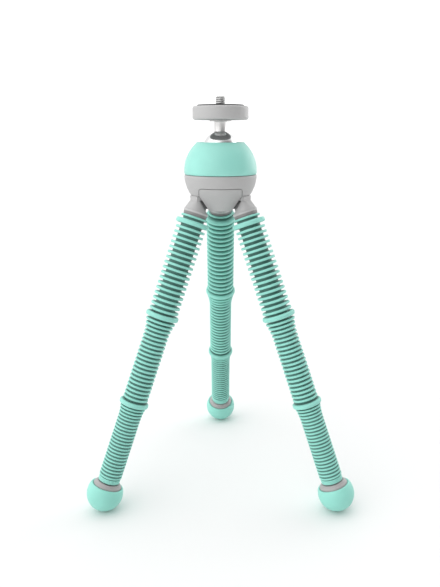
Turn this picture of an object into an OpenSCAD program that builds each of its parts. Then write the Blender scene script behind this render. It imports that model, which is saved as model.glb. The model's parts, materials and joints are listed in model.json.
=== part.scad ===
// Flexible leg tripod: a ball head on a round hub, with three bendable ribbed legs.
// Millimetres, +Z up. The feet stand on Z = 0 and the origin is the middle of the footprint's box.

/* [Stance] */
// Lean of each leg from the vertical, in degrees
leg_lean = 21.2; // [18:0.2:23]
// Distance from the head's axis to a leg's axis at its top collar
top_reach = 22.8; // [22.4:0.1:24]
// Height of the hub's sphere above the top collars
head_rise = 34.6; // [34:0.1:36]

/* [Upper leg sections] */
// Length from the top collar to the middle collar
upper_len = 68.5; // [62:0.5:80]
// Number of ribs
upper_ribs = 17; // [12:1:18]
// Radius over the ribs
upper_rib_r = 10.6; // [10.2:0.1:11.2]
// Thickness of a rib
upper_rib_t = 1.75; // [1.2:0.05:2]
// Radius of the sleeve between its ribs
upper_core_r = 7.6; // [7.5:0.1:8.2]

/* [Middle leg sections] */
// Length from the middle collar to the lower collar
middle_len = 65.8; // [60:0.2:76]
// Number of ribs
middle_ribs = 20; // [14:1:21]
// Radius over the ribs
middle_rib_r = 9.05; // [8.8:0.05:9.6]
// Thickness of a rib
middle_rib_t = 1.6; // [1.1:0.05:1.8]
// Radius of the sleeve between its ribs
middle_core_r = 7.2; // [7.1:0.1:7.6]

/* [Lower leg sections] */
// Length from the lower collar to the middle of the foot
lower_len = 69.3; // [64:0.1:78]
// Number of ribs
lower_ribs = 22; // [15:1:23]
// Radius over the ribs
lower_rib_r = 8.25; // [8.1:0.05:8.8]
// Thickness of a rib
lower_rib_t = 1.35; // [0.9:0.05:1.5]
// Radius of the sleeve between its ribs
lower_core_r = 7.3; // [7.1:0.1:7.6]
// Length of the plain band that ends the sleeve above the foot
end_band = 3; // [2:0.5:5]

/* [Ribs and collars] */
// Distance from a collar to the first rib below it
first_rib = 4.6; // [3.6:0.1:5.6]
// Distance from a section's last rib to the next collar
last_rib = 4.1; // [3.4:0.1:5]
// Number of ribs below a collar that taper from the section above
flare_ribs = 3; // [2:1:5]
// Radius of the top collar's bead
top_collar_r = 11.8; // [11.2:0.1:12.2]
// Radius of the middle collar's bead
middle_collar_r = 11.8; // [11.2:0.1:12.4]
// Radius of the lower collar's bead
lower_collar_r = 10.5; // [10:0.1:11.2]
// Thickness of a collar's bead
collar_t = 3.4; // [2.6:0.1:4.4]
// Radius of the thin rib above the top collar
lip_r = 9.5; // [9:0.1:10]
// Thickness of the thin rib above the top collar
lip_t = 1.5; // [1:0.1:1.8]
// Distance from the top collar up to the middle of its thin rib
lip_rise = 4.2; // [3.6:0.1:5]

/* [Bending skeleton] */
// Radius of the ball joints in the upper section
upper_ball_r = 4.1; // [3.8:0.1:4.2]
// Radius of the ball joints in the middle section
middle_ball_r = 3.8; // [3.5:0.1:3.9]
// Radius of the ball joints in the lower section
lower_ball_r = 3.8; // [3.4:0.1:4]
// Wall of a socket round its ball
socket_wall = 1.6; // [1.2:0.1:1.7]
// Radius of the neck below a ball, as the joint's bend needs it
link_neck_r = 2.3; // [1.8:0.1:2.4]
// Length of the neck and cone between a ball and the link's body
link_neck_len = 10; // [9:0.5:12]
// Height of the socket's mouth past the middle of its ball
mouth_rise = 1.2; // [0.8:0.1:1.4]
// Radius of a link's body between its joints
link_body_r = 4.8; // [4:0.1:5]
// Radius of the seat that carries a collar
collar_seat_r = 6.8; // [6.5:0.1:7]

/* [Feet] */
// Radius of the rubber foot ball
foot_r = 13; // [12:0.1:14]
// Height of the foot ball's open rim above its middle
foot_rim_rise = 7; // [6.5:0.1:7.6]
// Height of the foot ring's top above the middle of the ball
foot_ring_rise = 9.1; // [8.4:0.1:9.6]
// Radius of the foot ring's top
foot_ring_r = 8.4; // [8:0.1:8.8]
// Radius of the spigot that the foot ring sends into the ball
foot_spigot_r = 6.5; // [6:0.1:7]
// Depth of the spigot below the middle of the ball
foot_spigot_drop = 4; // [2:0.5:6]
// Depth of the recess in the ball's rim
foot_lip_depth = 1.5; // [1:0.1:2.5]
// Thickness of the lip round that recess
foot_lip_t = 0.8; // [0.6:0.1:1.2]
// Radius of the last link's stud in the foot ring
foot_stud_r = 3.5; // [3:0.1:3.8]

/* [Hub] */
// Radius of the hub's spheres
hub_r = 25.5; // [25.2:0.1:26]
// Drop from the middle of that sphere to the middle of the hub body's own sphere
hub_shift = 1.2; // [0.8:0.1:1.6]
// Height of the bevelled band under the seam
band_h = 1.4; // [1:0.1:2]
// Depth of that band at the seam
band_inset = 0.35; // [0.2:0.05:0.5]
// Drop from the middle of the sphere to the seam under the lock ring
seam_drop = 1.3; // [0.5:0.1:2]
// Drop from the middle of the sphere to the top of the hip brackets
hip_drop = 15.6; // [15.2:0.1:16]
// Drop from the middle of the sphere to where the hub's cone begins
waist_drop = 17; // [16.4:0.1:18]
// Drop from the middle of the sphere to the hub's flat bottom
hub_drop = 26; // [25.5:0.1:27]
// Radius of the hub's flat bottom
hub_base_r = 14; // [13.5:0.1:14.5]
// Thickness of the bottom cover
cover_t = 1.8; // [1.4:0.1:2.4]
// Half width of the slots that hold the hip brackets
slot_half = 6.3; // [5.8:0.1:6.6]
// Distance from the axis to the inner end of a slot
slot_in = 4.6; // [4.5:0.1:5]
// Radius of the threaded neck that carries the lock ring
neck_r = 20.8; // [20:0.1:21]
// Height of the neck's top above the middle of the sphere
neck_rise = 12; // [11:0.1:12.5]
// Drop from the middle of the sphere to the floor under the ball seat
floor_drop = 1.5; // [1.5:0.1:2.5]

/* [Front panel] */
// Half width of the panel
panel_half = 14.6; // [13.4:0.1:14.8]
// Drop from the middle of the sphere to the panel's top edge
panel_drop = 10.1; // [8:0.1:11]
// Radius of the panel's upper corners
panel_corner = 1.6; // [1:0.1:2.5]
// Thickness of the panel
panel_t = 1.6; // [1.2:0.1:2]
// Groove round the panel
panel_gap = 0.3; // [0.2:0.05:0.5]

/* [Hip brackets] */
// Half width of the bracket's tang
tang_half = 5; // [4.5:0.1:5.2]
// Height of the tang
tang_h = 2.8; // [2.6:0.1:3.2]
// Distance from the axis to the tang's inner end
tang_in = 5.2; // [5.1:0.1:6]
// Distance from the axis to the bracket's outer face
tang_out = 21.6; // [20.8:0.1:22]
// Distance from the axis to the inner side of the bracket's sloping part
slope_in = 19.5; // [18.5:0.1:20.2]
// Radius of the bracket's round end at its upper edge
hip_r = 8.8; // [8.4:0.1:9]
// Radius of the bracket's round end at its lower edge
hip_base_r = 8.1; // [7.8:0.1:8.4]
// Thickness of the bracket's round end
hip_t = 3.8; // [3:0.1:4]

/* [Lock ring] */
// Height of the ring's sphere above the hub's sphere
ring_shift = 1; // [0.5:0.1:1.5]
// Height of the ring's rim above the middle of the hub's sphere
rim_rise = 20.6; // [20:0.1:21]
// Gap at the seam between the ring and the hub
seam_gap = 0.35; // [0.2:0.05:0.6]
// Radius of the opening in the rim
rim_open_r = 14.2; // [13.9:0.1:14.4]
// Depth of the inner shoulder below the rim
shoulder_depth = 3; // [2.6:0.1:3.4]
// Radius of the rim's rounded edge
rim_round = 0.9; // [0.5:0.1:1]

/* [Ball clamp] */
// Radius of the ball
ball_r = 12.5; // [12.2:0.1:12.7]
// Height of the ball's middle above the middle of the hub's sphere
ball_rise = 15.6; // [15.2:0.1:16]
// Radius of the clamp ring's body
clamp_r = 16.8; // [16.4:0.1:17]
// Height of the clamp ring's visible lip above its shoulder
clamp_lip = 2; // [1.4:0.1:2.3]
// Height of the clamp ring's body
clamp_h = 7.4; // [6:0.1:7.6]
// Width of the keys that stop the clamp ring from turning
key_w = 3; // [2:0.5:4]
// Depth of the keys
key_depth = 1.4; // [1:0.1:1.8]
// Radius of the cup under the ball
seat_r = 13.2; // [13:0.1:13.4]
// Height of the cup's rim below the middle of the ball
seat_drop = 6.6; // [6:0.1:8]
// Thickness of the spring washer under the cup
washer_t = 1.2; // [0.8:0.1:1.4]
// Radius of the washer's hole
washer_hole_r = 6.6; // [5:0.1:9]

/* [Platform] */
// Height from the middle of the ball to the platform's underside
platform_rise = 19.8; // [19.5:0.1:23]
// Radius of the platform
platform_r = 19.3; // [18.2:0.1:21]
// Height of the platform
platform_h = 9.2; // [8.5:0.1:10]
// Radius of the platform's rounded edges
platform_round = 1.9; // [1:0.1:2.4]
// Radius of the rubber pad
pad_r = 16; // [14:0.1:16.2]
// Depth of the pad's recess
pad_recess = 1.5; // [1:0.1:2]
// Height of the pad above the platform
pad_proud = 0.8; // [0.5:0.1:1]
// Radius of the stem below the platform
stem_r = 4.3; // [4.1:0.05:4.5]
// Radius of the stem's flange
flange_r = 7.5; // [7:0.1:8]
// Thickness of the stem's flange
flange_t = 1; // [0.8:0.1:1.4]

/* [Camera screw] */
// Radius over the thread of the quarter inch camera screw
screw_r = 3.175; // [3.175]
// Height of the screw above the pad
screw_rise = 5.7; // [5:0.1:6]
// Radius of the screw's shank inside the stem
shank_r = 2.5; // [2.2:0.1:2.6]
// Depth of the shank below the platform's underside
shank_drop = 12; // [10:0.5:13]
// Radius of the screw's drive flange inside the platform
drive_r = 6; // [5:0.5:8]
// Thickness of the drive flange
drive_t = 2.4; // [1.5:0.1:3]

/* [Small fasteners] */
// Radius of the screws' shanks
fixing_r = 1.25; // [1:0.05:1.4]
// Radius of the screws' heads
fixing_head_r = 1.9; // [1.7:0.1:2]
// Height of the screws' heads
fixing_head_h = 1.2; // [1:0.1:1.3]
// Radius of the hexagon sockets in the cover screws' heads
socket_r = 1; // [0.8:0.1:1.1]
// Depth of those sockets
socket_depth = 0.7; // [0.5:0.1:0.8]
// Length of the screws' shanks
fixing_len = 9; // [7:0.5:10]
// Radius of the hip screws' circle
hip_screw_at = 9.4; // [9:0.1:9.6]
// Radius of the cover screws' circle
cover_screw_at = 9.8; // [9.7:0.1:9.9]

/* [Fits] */
// Radial clearance of a ball in its socket and of a shaft in its bore
run_gap = 0.05; // [0.04:0.01:0.08]
// Radial clearance of a sliding or threaded ring, and round the cover
ring_gap = 0.1; // [0.05:0.01:0.15]
// Radial clearance between the lock ring and the clamp ring
rim_gap = 0.2; // [0.1:0.05:0.3]
// Room above the threaded neck, inside the lock ring
neck_room = 0.5; // [0.3:0.1:0.8]
// Room below the clamp ring for its travel
clamp_drop = 0.2; // [0.1:0.1:0.5]
// Radial clearance round the camera screw in the pad and round the clip in its groove
screw_gap = 0.4; // [0.2:0.1:0.6]
// Clearance between a sleeve's bore and the skeleton
sleeve_gap = 0.8; // [0.7:0.05:0.9]
// Gap between a sleeve's end and a collar
end_gap = 0.1; // [0.05:0.05:0.2]
// Dark groove between the last sleeve and the foot ring
foot_groove = 0.4; // [0.2:0.1:0.8]

/* [Hidden] */
$fn = 64;
eps = 0.01;
far = 60;
hull_fn = 32;
chamfer = 0.6;
edge = 0.4;
flare_power = 1.5;
neck_share = 1 / 3;

SIDES = ["left", "right", "rear"];
leg_turn = [210, 330, 90];
panel_turn = 270;

// Distances along a leg, from the middle of its top collar down towards the foot
middle_at = upper_len;
lower_at = upper_len + middle_len;
foot_at = lower_at + lower_len;
sleeve_end = foot_at - foot_ring_rise - foot_groove;
lower_flex = sleeve_end - lower_at;
hinge_at = [
    upper_len / 4,
    upper_len * 3 / 4,
    middle_at + middle_len / 4,
    middle_at + middle_len * 3 / 4,
    lower_at + lower_flex / 4,
    lower_at + lower_flex * 3 / 4
];
hinge_r = [upper_ball_r, upper_ball_r, middle_ball_r, middle_ball_r, lower_ball_r, lower_ball_r];

foot_rim_r = sqrt(pow(foot_r, 2) - pow(foot_rim_rise, 2));

// Heights and places of the whole
foot_reach = top_reach + foot_at * sin(leg_lean);
top_z = foot_r + foot_at * cos(leg_lean);
hub_z = top_z + head_rise;
head_y = -foot_reach / 4;

// Heights above the middle of the hub's sphere
ring_bottom = -seam_drop + seam_gap / 2;
hub_top = -seam_drop - seam_gap / 2;
waist_r = sqrt(pow(hub_r, 2) - pow(waist_drop - hub_shift, 2));
waist_slope = (waist_r - hub_base_r) / (hub_drop - waist_drop);
waist_lap = 2;
panel_inset = panel_t * sqrt(1 + pow(waist_slope, 2));
shoulder_at = rim_rise - shoulder_depth;
clamp_low = shoulder_at - clamp_h;
seat_bottom = -floor_drop + washer_t;
platform_at = ball_rise + platform_rise;
pad_top = platform_at + platform_h + pad_proud;
clip_groove = 2;

// Colours as the photograph shows them
mint = [0.54, 0.9, 0.82];
light_grey = [0.74, 0.74, 0.74];
dark_grey = [0.33, 0.33, 0.34];
bright_steel = [0.85, 0.85, 0.86];
skeleton_grey = [0.45, 0.47, 0.48];

// Puts its children at a height above the middle of the hub's sphere, on the head's axis
module at_head(rise = 0) {
    translate([0, head_y, hub_z + rise])
        children();
}

// Turns its children to a leg's side of the hub
module to_side(turn) {
    at_head()
        rotate([0, 0, turn])
            children();
}

// Puts its children at a distance down a leg, with their Z axis along the leg and pointing up
module on_leg(side, at = 0) {
    translate([0, head_y, top_z])
        rotate([0, 0, leg_turn[side]])
            translate([top_reach, 0, 0])
                rotate([0, -leg_lean, 0])
                    translate([0, 0, -at])
                        children();
}

// A tube between two heights
module tube(outer_r, inner_r, low, high) {
    difference() {
        translate([0, 0, low])
            cylinder(r = outer_r, h = high - low);
        translate([0, 0, low - eps])
            cylinder(r = inner_r, h = high - low + 2 * eps);
    }
}

// The half outline of a bead: a flat ring with a full round edge
module bead_outline(r, t) {
    translate([0, -t / 2])
        square([r - t / 2, t]);
    translate([r - t / 2, 0])
        circle(d = t);
}

// The half outline of a disc with rounded upper and lower edges
module disc_outline(r, h, round_r) {
    square([r - round_r, h]);
    translate([0, round_r])
        square([r, h - 2 * round_r]);
    for (level = [round_r, h - round_r])
        translate([r - round_r, level])
            circle(r = round_r);
}

// Ribs below a collar taper from the radius of the section above
function flared(i, r, start_r) =
    r + max(start_r - r, 0) * pow(max(1 - i / flare_ribs, 0), flare_power);

// A ribbed sleeve from one distance down the leg to another, with an open bore
module ribbed_sleeve(side, from, to, ribs, first, last, rib_r, rib_t, core_r, bore_r, start_r) {
    pitch = (last - first) / (ribs - 1);
    on_leg(side)
        rotate_extrude()
            difference() {
                union() {
                    translate([0, -to])
                        square([core_r, to - from]);
                    for (i = [0:ribs - 1])
                        translate([0, -first - i * pitch])
                            bead_outline(flared(i, rib_r, start_r), rib_t);
                }
                translate([-eps, -to - eps])
                    square([bore_r + eps, to - from + 2 * eps]);
            }
}

// A collar's bead, which sits on a link
module collar_bead(r) {
    difference() {
        rotate_extrude()
            bead_outline(r, collar_t);
        cylinder(r = collar_seat_r + ring_gap / 2, h = far, center = true);
    }
}

// The cup of a ball joint, with its ball at the origin and the mouth facing down
module socket_cup(r) {
    cup_r = r + socket_wall;
    difference() {
        translate([0, 0, -mouth_rise])
            cylinder(r = cup_r, h = mouth_rise + cup_r);
        sphere(r = r + run_gap);
        translate([0, 0, -2 * cup_r])
            cylinder(r = sqrt(pow(r + run_gap, 2) - pow(mouth_rise, 2)), h = 2 * cup_r);
    }
}

// A ball with its neck and cone, which hang down from the origin to a link's body
module ball_and_neck(r) {
    neck_end = r + (link_neck_len - r) * neck_share;
    sphere(r = r);
    translate([0, 0, -neck_end])
        cylinder(r = link_neck_r, h = neck_end);
    translate([0, 0, -link_neck_len])
        cylinder(r1 = link_body_r, r2 = link_neck_r, h = link_neck_len - neck_end);
}

// A skeleton link from one ball joint to the next
module link(side, i) {
    body_end = hinge_at[i + 1] - hinge_r[i + 1] - socket_wall;
    color(skeleton_grey) {
        on_leg(side, hinge_at[i])
            ball_and_neck(hinge_r[i]);
        on_leg(side, body_end)
            cylinder(r = link_body_r, h = body_end - hinge_at[i] - link_neck_len);
        on_leg(side, hinge_at[i + 1])
            socket_cup(hinge_r[i + 1]);
    }
}

// A link that also carries the collar between two sections
module joiner(side, i, collar_at) {
    link(side, i);
    color(skeleton_grey)
        on_leg(side, collar_at + collar_t / 2)
            cylinder(r = collar_seat_r, h = collar_t);
}

module hip_bracket(side) {
    hip_top = lip_rise + lip_t / 2 + hip_t;
    slot_floor = -hip_drop - tang_h;
    color(light_grey)
        difference() {
            union() {
                to_side(leg_turn[side])
                    translate([tang_in, -tang_half, slot_floor])
                        cube([tang_out - tang_in, 2 * tang_half, tang_h]);
                hull() {
                    to_side(leg_turn[side])
                        translate([slope_in, edge - tang_half, slot_floor])
                            cube([tang_out - edge - slope_in, 2 * (tang_half - edge), edge]);
                    on_leg(side, -hip_top)
                        translate([0, 0, -edge])
                            cylinder(r = hip_r - edge / 2, h = edge, $fn = hull_fn);
                }
                on_leg(side, -hip_top + hip_t)
                    cylinder(r1 = hip_base_r, r2 = hip_r, h = hip_t);
                on_leg(side, collar_t / 2)
                    cylinder(r = collar_seat_r, h = collar_t / 2 + hip_top - hip_t / 2);
                on_leg(side, hinge_at[0] - upper_ball_r - socket_wall)
                    cylinder(r = link_body_r, h = hinge_at[0] - upper_ball_r - socket_wall);
                on_leg(side, hinge_at[0])
                    socket_cup(upper_ball_r);
            }
            to_side(leg_turn[side])
                translate([hip_screw_at, 0, slot_floor - eps])
                    cylinder(r = fixing_r, h = tang_h + 2 * eps);
        }
}

module top_collar(side) {
    color(mint)
        on_leg(side)
            difference() {
                union() {
                    rotate_extrude()
                        bead_outline(top_collar_r, collar_t);
                    translate([0, 0, lip_rise])
                        rotate_extrude()
                            bead_outline(lip_r, lip_t);
                    cylinder(r = upper_core_r, h = lip_rise);
                }
                cylinder(r = collar_seat_r + ring_gap / 2, h = far, center = true);
            }
}

module upper_sleeve(side) {
    color(mint)
        ribbed_sleeve(side, collar_t / 2 + end_gap, middle_at - collar_t / 2 - end_gap, upper_ribs,
            first_rib, middle_at - last_rib, upper_rib_r, upper_rib_t, upper_core_r,
            upper_ball_r + socket_wall + sleeve_gap, upper_rib_r);
}

module middle_sleeve(side) {
    color(mint)
        ribbed_sleeve(side, middle_at + collar_t / 2 + end_gap, lower_at - collar_t / 2 - end_gap,
            middle_ribs, middle_at + last_rib, lower_at - last_rib, middle_rib_r, middle_rib_t,
            middle_core_r, middle_ball_r + socket_wall + sleeve_gap, upper_rib_r);
}

module lower_sleeve(side) {
    last = sleeve_end - end_band - lower_rib_t;
    bore_r = lower_ball_r + socket_wall + sleeve_gap;
    color(mint)
        union() {
            ribbed_sleeve(side, lower_at + collar_t / 2 + end_gap, sleeve_end, lower_ribs,
                lower_at + last_rib - lower_rib_t / 2, last, lower_rib_r, lower_rib_t,
                lower_core_r, bore_r, middle_rib_r);
            on_leg(side)
                tube((lower_core_r + lower_rib_r) / 2, bore_r, -sleeve_end, -sleeve_end + end_band);
        }
}

module middle_collar(side) {
    color(mint)
        on_leg(side, middle_at)
            collar_bead(middle_collar_r);
}

module lower_collar(side) {
    color(mint)
        on_leg(side, lower_at)
            collar_bead(lower_collar_r);
}

module foot_link(side) {
    last = len(hinge_at) - 1;
    stud_end = foot_at - foot_ring_rise;
    color(skeleton_grey) {
        on_leg(side, hinge_at[last])
            ball_and_neck(hinge_r[last]);
        on_leg(side, stud_end)
            cylinder(r = link_body_r, h = stud_end - hinge_at[last] - link_neck_len);
        on_leg(side, foot_at)
            cylinder(r = foot_stud_r, h = foot_ring_rise);
    }
}

module foot_ring(side) {
    color(light_grey)
        on_leg(side, foot_at)
            difference() {
                union() {
                    translate([0, 0, foot_rim_rise])
                        cylinder(
                            r1 = foot_rim_r - foot_lip_t / 2,
                            r2 = foot_ring_r,
                            h = foot_ring_rise - foot_rim_rise
                        );
                    translate([0, 0, foot_rim_rise - foot_lip_depth])
                        cylinder(r = foot_rim_r - foot_lip_t, h = foot_lip_depth);
                    translate([0, 0, -foot_spigot_drop])
                        cylinder(r = foot_spigot_r, h = foot_spigot_drop + foot_rim_rise);
                }
                cylinder(r = foot_stud_r, h = far);
            }
}

module foot_ball(side) {
    color(mint)
        on_leg(side, foot_at)
            difference() {
                sphere(r = foot_r);
                translate([0, 0, foot_rim_rise])
                    cylinder(r = foot_r, h = foot_r);
                translate([0, 0, foot_rim_rise - foot_lip_depth])
                    cylinder(r = foot_rim_r - foot_lip_t, h = foot_r);
                translate([0, 0, -foot_spigot_drop])
                    cylinder(r = foot_spigot_r, h = foot_r);
            }
}

// The hub's outside, drawn in by a depth: a bevelled band, a sphere down to the waist, then a cone
module hub_form(depth = 0) {
    inset = depth * sqrt(1 + pow(waist_slope, 2));
    sphere_h = waist_drop + waist_lap + hub_top;
    band_r = hub_r - band_inset - depth;
    intersection() {
        translate([0, 0, -hub_shift])
            sphere(r = hub_r - depth);
        translate([0, 0, hub_top - sphere_h])
            cylinder(r1 = band_r + sphere_h * band_inset / band_h, r2 = band_r, h = sphere_h);
    }
    translate([0, 0, -hub_drop])
        cylinder(
            r1 = hub_base_r - inset,
            r2 = waist_r + waist_lap * waist_slope - inset,
            h = hub_drop - waist_drop + waist_lap
        );
}

// The slots that hold the hip brackets
module hip_slots() {
    for (turn = leg_turn)
        rotate([0, 0, turn])
            translate([slot_in, -slot_half, -far - hip_drop])
                cube([far, 2 * slot_half, far]);
}

// The front panel's place, as a block that runs forwards, grown by a gap at its top and sides
module panel_block(gap = 0) {
    half = panel_half + gap;
    corner = panel_corner + gap;
    top = -panel_drop + gap;
    rotate([0, 0, panel_turn])
        translate([slot_half, 0, 0])
            rotate([90, 0, 90])
                linear_extrude(height = far)
                    union() {
                        translate([-half, -far])
                            square([2 * half, far + top - corner]);
                        translate([corner - half, -far])
                            square([2 * (half - corner), far + top]);
                        for (x = [corner - half, half - corner])
                            translate([x, top - corner])
                                circle(r = corner);
                    }
}

module hub_body() {
    pocket_r = seat_r + ring_gap;
    color(light_grey)
        at_head()
            difference() {
                union() {
                    hub_form();
                    translate([0, 0, -seam_drop - floor_drop])
                        cylinder(r = neck_r, h = neck_rise + seam_drop + floor_drop);
                }
                translate([0, 0, -hub_drop - eps])
                    cylinder(r = far, h = cover_t + eps);
                hip_slots();
                difference() {
                    panel_block(panel_gap);
                    hub_form(panel_t);
                }
                translate([0, 0, -floor_drop])
                    cylinder(r = pocket_r, h = far);
                translate([0, 0, clamp_low - clamp_drop])
                    clamp_shape(far, far, ring_gap);
                for (turn = leg_turn)
                    rotate([0, 0, turn])
                        translate([hip_screw_at, 0, -hip_drop - eps])
                            cylinder(r = fixing_r, h = fixing_len - tang_h);
                for (turn = leg_turn)
                    rotate([0, 0, turn + 180])
                        translate([cover_screw_at, 0, -hub_drop + fixing_head_h])
                            cylinder(r = fixing_r, h = fixing_len);
            }
}

module front_panel() {
    color(light_grey)
        at_head()
            difference() {
                intersection() {
                    hub_form();
                    panel_block();
                }
                hub_form(panel_t);
                hip_slots();
            }
}

module hub_cover() {
    color(dark_grey)
        at_head(-hub_drop)
            difference() {
                cylinder(r = hub_base_r - panel_inset - ring_gap, h = cover_t);
                translate([0, 0, hub_drop])
                    hip_slots();
                for (turn = leg_turn)
                    rotate([0, 0, turn + 180])
                        translate([cover_screw_at, 0, -eps]) {
                            cylinder(r = fixing_head_r + ring_gap, h = fixing_head_h);
                            cylinder(r = fixing_r, h = far);
                        }
            }
}

// A pan head screw that points up, with its head below the origin
module fixing() {
    translate([0, 0, -fixing_head_h])
        cylinder(r = fixing_head_r, h = fixing_head_h);
    cylinder(r = fixing_r, h = fixing_len - ring_gap);
}

module hip_screws() {
    color(bright_steel)
        for (turn = leg_turn)
            to_side(turn)
                translate([hip_screw_at, 0, -hip_drop - tang_h])
                    fixing();
}

module cover_screws() {
    color(bright_steel)
        for (turn = leg_turn)
            to_side(turn + 180)
                translate([cover_screw_at, 0, -hub_drop + fixing_head_h - eps])
                    difference() {
                        fixing();
                        translate([0, 0, -fixing_head_h - eps])
                            cylinder(r = socket_r, h = socket_depth + eps, $fn = 6);
                    }
}

// The clamp ring's outside with its keys, grown by a gap
module clamp_shape(h, key_h, gap = 0) {
    cylinder(r = clamp_r + gap, h = h);
    for (turn = leg_turn)
        rotate([0, 0, turn])
            translate([0, -key_w / 2 - gap, 0])
                cube([clamp_r + key_depth + gap, key_w + 2 * gap, key_h]);
}

module clamp_ring() {
    color(dark_grey)
        at_head()
            difference() {
                union() {
                    translate([0, 0, clamp_low])
                        clamp_shape(clamp_h, neck_rise - clamp_low);
                    translate([0, 0, shoulder_at - eps])
                        cylinder(r = rim_open_r - rim_gap, h = clamp_lip + eps);
                }
                translate([0, 0, ball_rise])
                    sphere(r = ball_r + run_gap);
                translate([0, 0, clamp_low - eps])
                    cylinder(r = ball_r + run_gap, h = ball_rise - clamp_low + eps);
            }
}

module ball_seat() {
    seat_top = ball_rise - seat_drop;
    color(dark_grey)
        at_head()
            difference() {
                translate([0, 0, seat_bottom])
                    cylinder(r = seat_r, h = seat_top - seat_bottom);
                translate([0, 0, ball_rise])
                    sphere(r = ball_r + run_gap);
            }
}

module seat_washer() {
    color(bright_steel)
        at_head()
            tube(seat_r - chamfer, washer_hole_r, -floor_drop, seat_bottom);
}

module lock_ring() {
    cavity_r = neck_r + ring_gap;
    color(mint)
        at_head()
            difference() {
                rotate_extrude()
                    union() {
                        intersection() {
                            translate([0, ring_shift])
                                circle(r = hub_r);
                            translate([0, ring_bottom])
                                square([hub_r, rim_rise - rim_round - ring_bottom]);
                        }
                        ring_rim_outline();
                    }
                translate([0, 0, ring_bottom - eps])
                    cylinder(r = cavity_r, h = neck_rise + neck_room - ring_bottom);
                cylinder(r = clamp_r + rim_gap, h = shoulder_at);
                cylinder(r = rim_open_r, h = far);
            }
}

// The rounded top edge of the lock ring
module ring_rim_outline() {
    rim_r = sqrt(pow(hub_r, 2) - pow(rim_rise - rim_round - ring_shift, 2));
    translate([0, rim_rise - rim_round])
        square([rim_r - rim_round, rim_round]);
    translate([rim_r - rim_round, rim_rise - rim_round])
        circle(r = rim_round);
}

module ball_stem() {
    stem_top = platform_rise - flange_t;
    clip_at = platform_rise - shank_drop;
    color(bright_steel)
        at_head(ball_rise)
            difference() {
                union() {
                    sphere(r = ball_r);
                    cylinder(r = stem_r, h = platform_rise);
                    translate([0, 0, stem_top])
                        cylinder(r = flange_r, h = flange_t);
                }
                translate([0, 0, clip_at - clip_groove / 2])
                    cylinder(r = shank_r + run_gap, h = far);
                translate([0, 0, clip_at])
                    cylinder(r = shank_r + chamfer + screw_gap, h = clip_groove);
            }
}

module thrust_washer() {
    color(bright_steel)
        at_head(platform_at)
            tube(flange_r - edge, shank_r + ring_gap, 0, chamfer);
}

module screw_clip() {
    clip_at = platform_at - shank_drop;
    color(bright_steel)
        at_head(clip_at)
            tube(shank_r + chamfer + ring_gap, shank_r - edge, edge, clip_groove - edge);
}

module platform_disc() {
    color(light_grey)
        at_head(platform_at)
            difference() {
                rotate_extrude()
                    difference() {
                        disc_outline(platform_r, platform_h, platform_round);
                        translate([-platform_r, -eps])
                            square([platform_r, platform_h + 2 * eps]);
                    }
                translate([0, 0, platform_h - pad_recess])
                    cylinder(r = pad_r, h = far);
                translate([0, 0, -eps])
                    cylinder(r = flange_r - edge + ring_gap, h = chamfer + eps);
                cylinder(r = shank_r + run_gap, h = far);
                translate([0, 0, platform_h - pad_recess - drive_t])
                    cylinder(r = drive_r, h = far, $fn = 6);
            }
}

module platform_pad() {
    pad_t = pad_recess + pad_proud;
    color(dark_grey)
        at_head(platform_at + platform_h - pad_recess)
            tube(pad_r, screw_r + screw_gap, 0, pad_t);
}

module camera_screw() {
    drive_low = platform_at + platform_h - pad_recess - drive_t;
    shank_low = platform_at - shank_drop;
    relief_r = screw_r - chamfer;
    color(bright_steel)
        at_head()
            difference() {
                union() {
                    translate([0, 0, drive_low])
                        cylinder(r = drive_r, h = drive_t, $fn = 6);
                    translate([0, 0, drive_low])
                        cylinder(r = relief_r, h = pad_top + ring_gap - drive_low);
                    translate([0, 0, pad_top + ring_gap])
                        cylinder(r = screw_r, h = screw_rise - chamfer - ring_gap);
                    translate([0, 0, pad_top + screw_rise - chamfer])
                        cylinder(r1 = screw_r, r2 = screw_r - chamfer, h = chamfer);
                    translate([0, 0, shank_low])
                        cylinder(r = shank_r, h = drive_low - shank_low + eps);
                }
                translate([0, 0, shank_low])
                    tube(shank_r + eps, shank_r - edge, edge, clip_groove - edge);
            }
}

camera_screw();
platform_disc();
platform_pad();
thrust_washer();
screw_clip();
ball_stem();
lock_ring();
clamp_ring();
ball_seat();
seat_washer();
hub_body();
front_panel();
hub_cover();
hip_screws();
cover_screws();
for (side = [0:len(SIDES) - 1]) {
    hip_bracket(side);
    top_collar(side);
    upper_sleeve(side);
    link(side, 0);
    joiner(side, 1, middle_at);
    middle_collar(side);
    middle_sleeve(side);
    link(side, 2);
    joiner(side, 3, lower_at);
    lower_collar(side);
    lower_sleeve(side);
    link(side, 4);
    foot_link(side);
    foot_ring(side);
    foot_ball(side);
}
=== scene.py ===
"""Looks for the flexible leg tripod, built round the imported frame. Metres, in the row's frame."""

import json
import math

import bmesh
import bpy
import numpy as np
from mathutils import Matrix, Vector


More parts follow.
